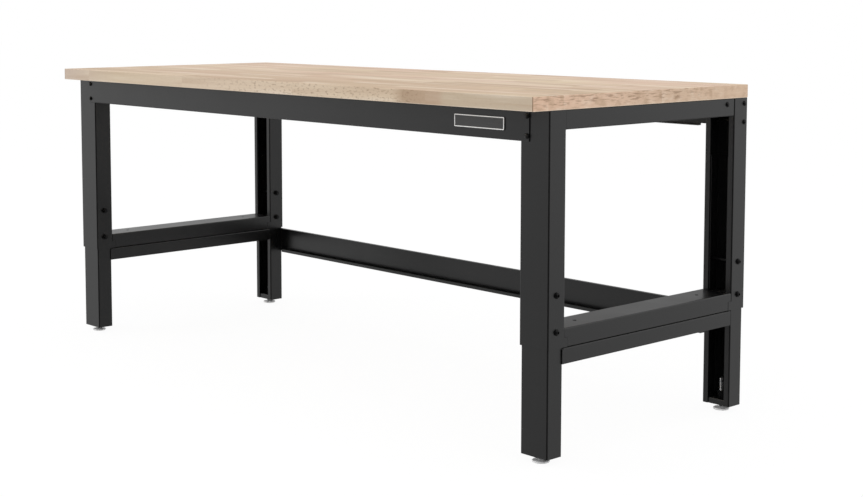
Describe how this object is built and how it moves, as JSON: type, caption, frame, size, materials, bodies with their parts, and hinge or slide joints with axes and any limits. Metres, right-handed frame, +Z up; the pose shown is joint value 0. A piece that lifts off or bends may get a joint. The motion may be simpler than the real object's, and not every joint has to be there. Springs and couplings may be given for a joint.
{
  "type": "adjustable height workbench",
  "caption": "Workbench with a thick wood top on a black folded steel frame, telescoping bolted legs, end and rear stretchers and levelling feet.",
  "frame": {"origin": "on the floor under the middle of the wood top, at the lowest height setting", "axes": "+X along the bench to the right of someone standing at its front, +Y from the front to the rear, +Z up"},
  "size_m": [1.839, 0.72, 0.762],
  "materials": {
    "frame_coat": "satin black powder coat with a fine grain",
    "bolt_black": "black oxide",
    "foot_zinc": "bright zinc plate",
    "top_wood": "clear matt oil over glued staves",
    "plate_enamel": "dark enamel with a pale rim"
  },
  "bodies": {
    "lower_frame": {"lower_leg_front_left": "frame_coat", "lower_leg_front_right": "frame_coat", "lower_leg_rear_left": "frame_coat", "lower_leg_rear_right": "frame_coat", "foot_bracket_front_left": "frame_coat", "foot_bracket_front_right": "frame_coat", "foot_bracket_rear_left": "frame_coat", "foot_bracket_rear_right": "frame_coat", "lower_stretcher_left": "frame_coat", "lower_stretcher_right": "frame_coat", "rear_stretcher": "frame_coat"},
    "upper_frame": {"upper_leg_front_left": "frame_coat", "height_bolt_front_left_lower": "bolt_black", "height_nut_front_left_lower": "bolt_black", "height_bolt_front_left_upper": "bolt_black", "height_nut_front_left_upper": "bolt_black", "upper_leg_front_right": "frame_coat", "height_bolt_front_right_lower": "bolt_black", "height_nut_front_right_lower": "bolt_black", "height_bolt_front_right_upper": "bolt_black", "height_nut_front_right_upper": "bolt_black", "upper_leg_rear_left": "frame_coat", "height_bolt_rear_left_lower": "bolt_black", "height_nut_rear_left_lower": "bolt_black", "height_bolt_rear_left_upper": "bolt_black", "height_nut_rear_left_upper": "bolt_black", "upper_leg_rear_right": "frame_coat", "height_bolt_rear_right_lower": "bolt_black", "height_nut_rear_right_lower": "bolt_black", "height_bolt_rear_right_upper": "bolt_black", "height_nut_rear_right_upper": "bolt_black", "end_apron_left": "frame_coat", "upper_stretcher_left": "frame_coat", "front_apron_bolt_left_lower": "bolt_black", "rear_apron_bolt_left_lower": "bolt_black", "front_apron_bolt_left_upper": "bolt_black", "rear_apron_bolt_left_upper": "bolt_black", "end_apron_bolt_left": "bolt_black", "end_apron_right": "frame_coat", "upper_stretcher_right": "frame_coat", "front_apron_bolt_right_lower": "bolt_black", "rear_apron_bolt_right_lower": "bolt_black", "front_apron_bolt_right_upper": "bolt_black", "rear_apron_bolt_right_upper": "bolt_black", "end_apron_bolt_right": "bolt_black", "top_screw_front_left": "foot_zinc", "top_screw_front_middle": "foot_zinc", "top_screw_front_right": "foot_zinc", "top_screw_rear_left": "foot_zinc", "top_screw_rear_middle": "foot_zinc", "top_screw_rear_right": "foot_zinc", "front_apron": "frame_coat", "rear_apron": "frame_coat", "name_plate": "plate_enamel", "work_top": "top_wood"},
    "foot_front_left": {"leveling_foot_front_left": "foot_zinc"},
    "foot_front_right": {"leveling_foot_front_right": "foot_zinc"},
    "foot_rear_left": {"leveling_foot_rear_left": "foot_zinc"},
    "foot_rear_right": {"leveling_foot_rear_right": "foot_zinc"}
  },
  "joints": [
    {"name": "height_adjust", "type": "slide", "parent": "lower_frame", "child": "upper_frame", "axis": [0, 0, 1], "range_m": [0, 0.2286]},
    {"name": "level_front_left", "type": "slide", "parent": "lower_frame", "child": "foot_front_left", "axis": [0, 0, -1], "range_m": [0, 0.02]},
    {"name": "level_front_right", "type": "slide", "parent": "lower_frame", "child": "foot_front_right", "axis": [0, 0, -1], "range_m": [0, 0.02]},
    {"name": "level_rear_left", "type": "slide", "parent": "lower_frame", "child": "foot_rear_left", "axis": [0, 0, -1], "range_m": [0, 0.02]},
    {"name": "level_rear_right", "type": "slide", "parent": "lower_frame", "child": "foot_rear_right", "axis": [0, 0, -1], "range_m": [0, 0.02]}
  ]
}
